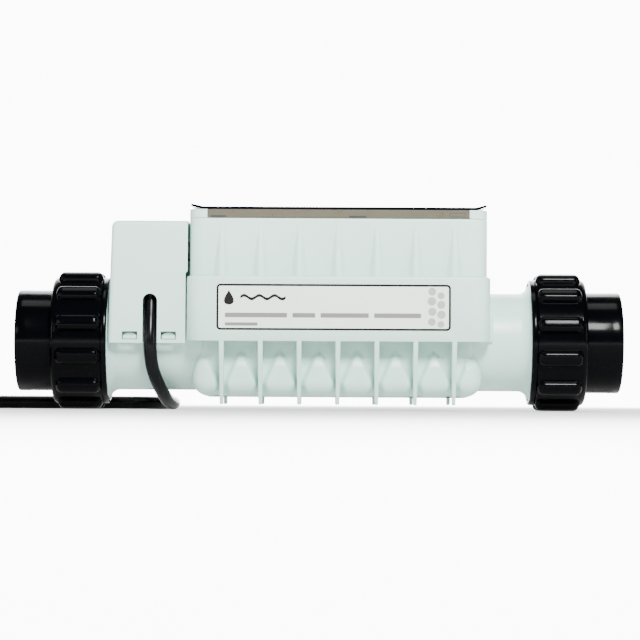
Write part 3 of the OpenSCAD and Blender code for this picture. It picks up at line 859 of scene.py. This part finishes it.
# The lead's route in millimetres, from the strain relief to the coil
CORD_ROUTE = [
    (-127, RELIEF_Y, 90), (-127, RELIEF_Y, 84), (-127, -39.5, 75), (-127, -43.6, 64), (-127, -46.4, 53),
    (-126.5, -46, 42), (-125, -42.5, 31), (-121.8, -36, 21), (-118, -26, 12.5), (-115, -13, 7),
    (-112.5, 0, 5), (-112, 13, 5), (-115, 27.5, 5), (-123.5, 40, 5), (-136.5, 49, 5), (-152, 52, 5),
    (-178, 52, 5), (-204, 52, 5), (-230, 52, 5), (-256, 52, 5), (-282, 52, 5), (-308, 52, 5.2),
    (-330, 52, 5.5), (-352, 52, 5.8)]
COIL_OUTER, COIL_INNER = 85.0, 35.0
COIL_STEPS = 24


def coil_points():
    """Two flat layers wound in and out, one turn more on top, then up to the plug's boot."""
    centre = ((COIL_LOW[0] + COIL_HIGH[0]) / 2, (COIL_LOW[1] + COIL_HIGH[1]) / 2)
    low = COIL_LOW[2] + CORD_D / 2
    second = low + CORD_D
    third = second + CORD_D + 1.2
    # Each stretch: turns, radius from and to, height from and to
    stretches = [(5, COIL_OUTER, COIL_INNER, low, low), (0.5, COIL_INNER, COIL_INNER, low, second),
                 (5, COIL_INNER, COIL_OUTER, second, second), (0.25, COIL_OUTER, 82.0, second, third),
                 (0.5, 82.0, 75.0, third, third)]
    points = []
    turn = 0.25
    for turns, r0, r1, z0, z1 in stretches:
        count = round(turns * COIL_STEPS)
        for i in range(1, count + 1):
            turn += 1 / COIL_STEPS
            angle = turn * math.tau
            radius = r0 + (r1 - r0) * i / count
            points.append((centre[0] + radius * math.cos(angle), centre[1] + radius * math.sin(angle),
                           z0 + (z1 - z0) * ease(i / count)))
    return points


def boot_approach(start):
    """From the top turn, heading towards -Y, round to the back of the boot, heading along +X."""
    end = (BOOT_LOW[0], (BOOT_LOW[1] + BOOT_HIGH[1]) / 2, (BOOT_LOW[2] + BOOT_HIGH[2]) / 2)
    radius = end[0] - start[0]
    points = [(start[0], start[1] - 8, start[2])]
    for i in range(7):
        a = math.radians(180 + 90 * i / 6)
        points.append((end[0] + radius * math.cos(a), end[1] + radius + radius * math.sin(a),
                       start[2] + (end[2] - start[2]) * ease((i + 1) / 7)))
    return points


def smooth_curve(name, points, radius):
    """An open smooth curve through the points, as a round tube."""
    curve = bpy.data.curves.new(name, "CURVE")
    curve.dimensions = "3D"
    curve.bevel_depth = radius * MM
    curve.bevel_resolution = 6
    curve.use_fill_caps = True
    curve.resolution_u = 4
    spline = curve.splines.new("BEZIER")
    spline.bezier_points.add(len(points) - 1)
    for i, place in enumerate(points):
        here = Vector(place)
        before = Vector(points[max(i - 1, 0)])
        after = Vector(points[min(i + 1, len(points) - 1)])
        along = (after - before).normalized()
        knot = spline.bezier_points[i]
        knot.co = here * MM
        knot.handle_left = (here - along * (here - before).length / 3) * MM
        knot.handle_right = (here + along * (after - here).length / 3) * MM
    return curve


def ribbed_sleeve(low, high, r0, r1, groove, count):
    """Profile of a tapering sleeve with grooves round it."""
    out = [(low, 0.01), (low, r0 - 0.5), (low + 0.5, r0)]
    pitch = (high - low - 4) / count
    for k in range(count):
        at = low + 2 + pitch * (k + 0.5)
        r = r0 + (r1 - r0) * (at - low) / (high - low)
        out += [(at - pitch * 0.28, r), (at - pitch * 0.18, r - groove), (at + pitch * 0.18, r - groove),
                (at + pitch * 0.28, r)]
    return out + [(high - 0.5, r1), (high, r1 - 0.5), (high, 0.01)]


def add_plug():
    """Ribbed boot and keyed round body on the end of the lead."""
    centre = (0, (BOOT_LOW[1] + BOOT_HIGH[1]) / 2, (BOOT_LOW[2] + BOOT_HIGH[2]) / 2)
    boot = lathe("plug_boot", ribbed_sleeve(BOOT_LOW[0], BOOT_HIGH[0], 6, 9, 0.7, 5), centre, "X", 64)
    x0 = BOOT_HIGH[0]
    body = [(0.02, 0.01), (0.02, 9.4), (1.0, 10.4), (5, 10.8), (5.4, 12.0), (6, 12.4), (20, 12.4),
            (20.6, 12.0), (21, 11.4), (32.6, 11.4), (33.4, 11.2), (34, 10.6), (34, 9.9), (33.6, 9.6),
            (22, 9.6), (22, 0.01)]
    shell = lathe("plug_body", [(x0 + w, r) for w, r in body], centre, "X", 96)
    grips = []
    for k in range(18):
        a = math.tau * k / 18
        grips.append(lathe("grip", [(x0 + 7.5, 0.01), (x0 + 7.5, 0.9), (x0 + 18.5, 0.9), (x0 + 18.5, 0.01)],
                           (0, centre[1] + 12.6 * math.sin(a), centre[2] + 12.6 * math.cos(a)), "X", 12))
    shell = combine("plug_body", shell, grips, "DIFFERENCE")
    return [new_piece("plug_boot", shade(boot), "cell", "cord_jacket", JACKET, "connector_boot"),
            new_piece("plug_body", shade(shell), "cell", "black_fitting", FITTING, "connector_body")]


def add_power_cord():
    coil = coil_points()
    points = CORD_ROUTE + coil + boot_approach(coil[-1])
    length = sum((Vector(b) - Vector(a)).length for a, b in zip(points, points[1:]))
    curve = smooth_curve("power_lead", points, CORD_D / 2)
    lead = new_piece("power_lead", curve, "cell", "cord_jacket", JACKET, "power_cord", "cord_coil")
    plug = add_plug()


def add_strain_relief():
    sleeve = ribbed_sleeve(90, 112, 5.9, 6.9, 0.8, 5)
    piece = lathe("relief_sleeve", sleeve, (SENSOR_X, RELIEF_Y, 0), "Z", 64)
    new_piece("relief_sleeve", shade(piece), "cell", "cord_jacket", JACKET, "strain_relief")


add_strain_relief()
add_power_cord()

# ---------------------------------------------------------------- floor and light


def add_floor():
    """Pale floor that curves up into a plain backdrop behind the part."""
    half = 4.0
    back = 3.0
    radius = 1.5
    rows = [(-5.0, 0.0), (back, 0.0)]
    rows += [(back + radius * math.sin(a), radius - radius * math.cos(a))
             for a in [math.radians(d) for d in range(6, 91, 6)]]
    rows.append((back + radius, 5.0))
    mesh = bpy.data.meshes.new("studio_floor")
    vertices = [(x, y, z) for y, z in rows for x in (-half, half)]
    faces = [(2 * i, 2 * i + 1, 2 * i + 3, 2 * i + 2) for i in range(len(rows) - 1)]
    mesh.from_pydata(vertices, [], faces)
    for polygon in mesh.polygons:
        polygon.use_smooth = True
    floor = bpy.data.objects.new("studio_floor", mesh)
    bpy.context.scene.collection.objects.link(floor)
    mesh.materials.append(glowing_paper())


def glowing_paper():
    """White paper that glows with painted light: faint near the part and brighter away from it, and less so
    at the far left and right.
    """
    made = Shader("glowing_paper", (0.60, 0.60, 0.60), 0.9, Emission_Color=(1.0, 1.0, 1.0, 1.0))
    distance = made.node("ShaderNodeVectorMath", operation="LENGTH")
    made.link(made.position(), distance.inputs[0])
    split = made.node("ShaderNodeSeparateXYZ")
    made.link(made.position(), split.inputs[0])
    aside = made.node("ShaderNodeMath", operation="ABSOLUTE")
    made.link(split.outputs["X"], aside.inputs[0])
    glow = None
    # Painted glow: faint close to the part, strong further off, a little stronger towards the back, and a
    # quarter as strong at the far sides.
    for source, limits in ((distance.outputs["Value"], (0.45, 1.7, 0.03, 1.0)),
                           (split.outputs["Y"], (-0.4, 1.2, 8.5, 10.0)),
                           (aside.outputs["Value"], (0.8, 2.0, 1.0, 0.25))):
        part = made.node("ShaderNodeMapRange", interpolation_type="SMOOTHSTEP")
        for key, value in zip(("From Min", "From Max", "To Min", "To Max"), limits):
            part.inputs[key].default_value = value
        made.link(source, part.inputs["Value"])
        if glow is None:
            glow = part.outputs["Result"]
            continue
        product = made.node("ShaderNodeMath", operation="MULTIPLY")
        made.link(glow, product.inputs[0])
        made.link(part.outputs["Result"], product.inputs[1])
        glow = product.outputs["Value"]
    made.link(glow, made.principled.inputs["Emission Strength"])
    return made.material


def add_area(name, place, target, size, power, size_y=None):
    data = bpy.data.lights.new(name, "AREA")
    data.shape = "RECTANGLE"
    data.size = size
    data.size_y = size_y or size
    data.energy = power
    light = bpy.data.objects.new(name, data)
    aim = (Vector(target) - Vector(place)).to_track_quat("-Z", "Y").to_matrix().to_4x4()
    light.matrix_world = Matrix.Translation(Vector(place)) @ aim
    bpy.context.scene.collection.objects.link(light)


def add_world():
    """Faint even light from all round. To the camera, the empty room past the paper's edge shows pale."""
    world = bpy.data.worlds.new("studio_world")
    world.use_nodes = True
    tree = world.node_tree
    light = tree.nodes["Background"]
    room = tree.nodes.new("ShaderNodeBackground")
    for background, strength in ((light, 0.10), (room, 2.6)):
        background.inputs["Color"].default_value = (1.0, 1.0, 1.0, 1.0)
        background.inputs["Strength"].default_value = strength
    seen = tree.nodes.new("ShaderNodeLightPath")
    mix = tree.nodes.new("ShaderNodeMixShader")
    tree.links.new(seen.outputs["Is Camera Ray"], mix.inputs["Fac"])
    tree.links.new(light.outputs["Background"], mix.inputs[1])
    tree.links.new(room.outputs["Background"], mix.inputs[2])
    tree.links.new(mix.outputs["Shader"], tree.nodes["World Output"].inputs["Surface"])
    bpy.context.scene.world = world


add_floor()
add_area("key_light", (0.50, -2.0, 1.6), (0, 0, 0.07), 0.6, 160)
add_area("fill_light", (-1.2, -2.0, 0.9), (0, 0, 0.07), 0.5, 10)
add_area("top_light", (0.0, 0.1, 2.2), (0, 0, 0.07), 1.2, 16, size_y=0.7)
add_area("left_strip", (-1.30, -0.55, 0.35), (-0.17, 0, 0.05), 0.07, 5, size_y=0.5)
add_area("right_strip", (1.30, -0.55, 0.35), (0.17, 0, 0.05), 0.07, 4, size_y=0.5)
add_world()
